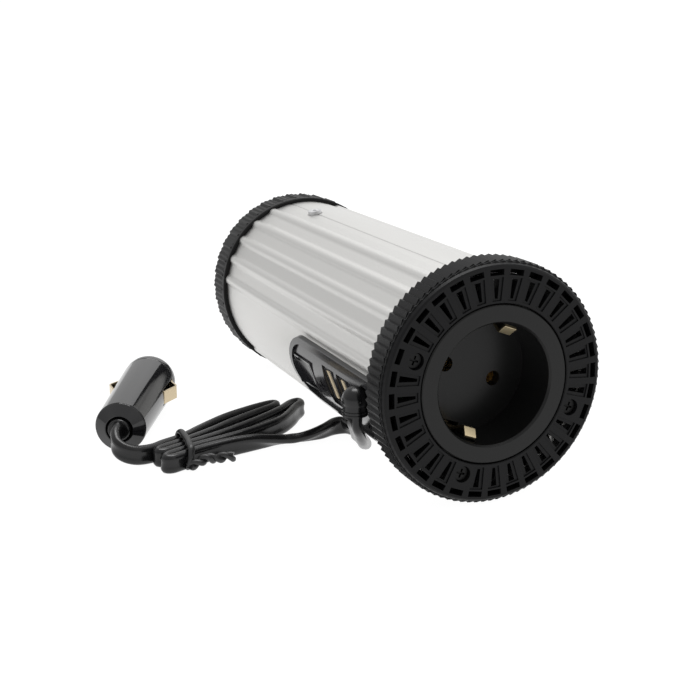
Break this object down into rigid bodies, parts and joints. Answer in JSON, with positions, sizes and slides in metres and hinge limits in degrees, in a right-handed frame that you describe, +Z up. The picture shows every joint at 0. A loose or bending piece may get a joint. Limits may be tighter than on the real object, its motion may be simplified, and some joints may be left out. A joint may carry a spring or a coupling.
{
  "type": "power inverter",
  "caption": "Can-shaped 12 V inverter with fluted metal tube, knurled outlet ring, earthed socket, switch and USB side panel, and folded lead with lighter plug.",
  "frame": {"origin": "floor point under the middle of the can, which lies on its side on both end rings; measured without the lead and plug", "axes": "+Z up, +Y along the can from the outlet face to the far end, +X to the right when looking along +Y; the side panel and the plug are on the -X side"},
  "size_m": [0.1473, 0.1764, 0.0802],
  "materials": {
    "aluminium_body": "bead-blasted, clear anodised",
    "black_cap": "fine satin texture",
    "dark_insert": "satin",
    "gloss_panel": "glossy",
    "steel_bright": "zinc plated",
    "brass": "bright",
    "cream_plastic": "satin",
    "lamp_lens": "clear diffusing",
    "circuit_board": "solder mask",
    "ferrite": "matte",
    "winding": "taped winding",
    "capacitor_sleeve": "shrink sleeve",
    "transistor_case": "moulded epoxy",
    "fibre_pad": "silicone pad",
    "heat_bar": "mill finish",
    "fuse_body": "tinted",
    "fuse_glass": "clear",
    "plug_gloss": "polished",
    "contact_brass": "satin",
    "lead_jacket": "soft PVC",
    "tie_jacket": "PVC over wire"
  },
  "bodies": {
    "housing": {"body_tube": "aluminium_body", "front_ring": "black_cap", "socket_insert": "dark_insert", "socket_back": "dark_insert", "socket_contacts": "brass", "earth_clip": "brass", "front_screws": "steel_bright", "rear_cap": "black_cap", "rear_screws": "steel_bright", "fan_frame": "dark_insert", "fan_screws": "steel_bright", "side_panel": "gloss_panel", "switch_housing": "gloss_panel", "switch_terminals": "brass", "panel_lamp": "lamp_lens", "usb_board": "circuit_board", "usb_shells": "steel_bright", "usb_tongues": "cream_plastic", "usb_contacts": "brass", "cord_gland": "lead_jacket", "main_board": "circuit_board", "control_board": "circuit_board", "transformer_core": "ferrite", "transformer_winding": "winding", "input_capacitors": "capacitor_sleeve", "bus_capacitor": "capacitor_sleeve", "primary_transistors": "transistor_case", "bridge_transistors": "transistor_case", "insulator_pads": "fibre_pad", "clamp_bars": "heat_bar", "clamp_screws": "steel_bright", "output_choke": "ferrite", "board_fuse": "fuse_body", "plug_body": "plug_gloss", "plug_collar": "plug_gloss", "plug_bushing": "lead_jacket", "plug_nose_ring": "plug_gloss", "plug_tip_spring": "steel_bright", "cord_lead": "lead_jacket", "cord_hank": "lead_jacket", "cord_tail": "lead_jacket", "twist_tie": "tie_jacket"},
    "rocker": {"switch_rocker": "gloss_panel"},
    "fan_rotor": {"fan_impeller": "black_cap"},
    "tip_pin": {"plug_tip_pin": "contact_brass", "plug_fuse": "fuse_glass"},
    "contact_left": {"plug_contact_left": "contact_brass"},
    "contact_right": {"plug_contact_right": "contact_brass"}
  },
  "joints": [
    {"name": "rocker_tilt", "type": "hinge", "parent": "housing", "child": "rocker", "pos_m": [-0.02993, -0.01118, 0.02749], "axis": [0.3535, -0.0172, -0.9353], "range_deg": [0, 18]},
    {"name": "fan_spin", "type": "hinge", "parent": "housing", "child": "fan_rotor", "pos_m": [0, 0.07951, 0.03714], "axis": [0, -0.9998, 0.0183], "continuous": true},
    {"name": "tip_pin_press", "type": "slide", "parent": "housing", "child": "tip_pin", "axis": [-0.4384, -0.8988, 0], "range_m": [0, 0.003], "stiffness_N_per_m": 800, "springref_m": -0.004, "deforming": ["plug_tip_spring"]},
    {"name": "contact_left_press", "type": "hinge", "parent": "housing", "child": "contact_left", "pos_m": [-0.08712, 0.04832, 0.0103], "axis": [0, 0, 1], "range_deg": [0, 14], "stiffness_Nm_per_rad": 0.15, "springref_deg": -2.86},
    {"name": "contact_right_press", "type": "hinge", "parent": "housing", "child": "contact_right", "pos_m": [-0.07022, 0.04008, 0.0103], "axis": [0, 0, -1], "range_deg": [0, 14], "stiffness_Nm_per_rad": 0.15, "springref_deg": -2.86}
  ]
}
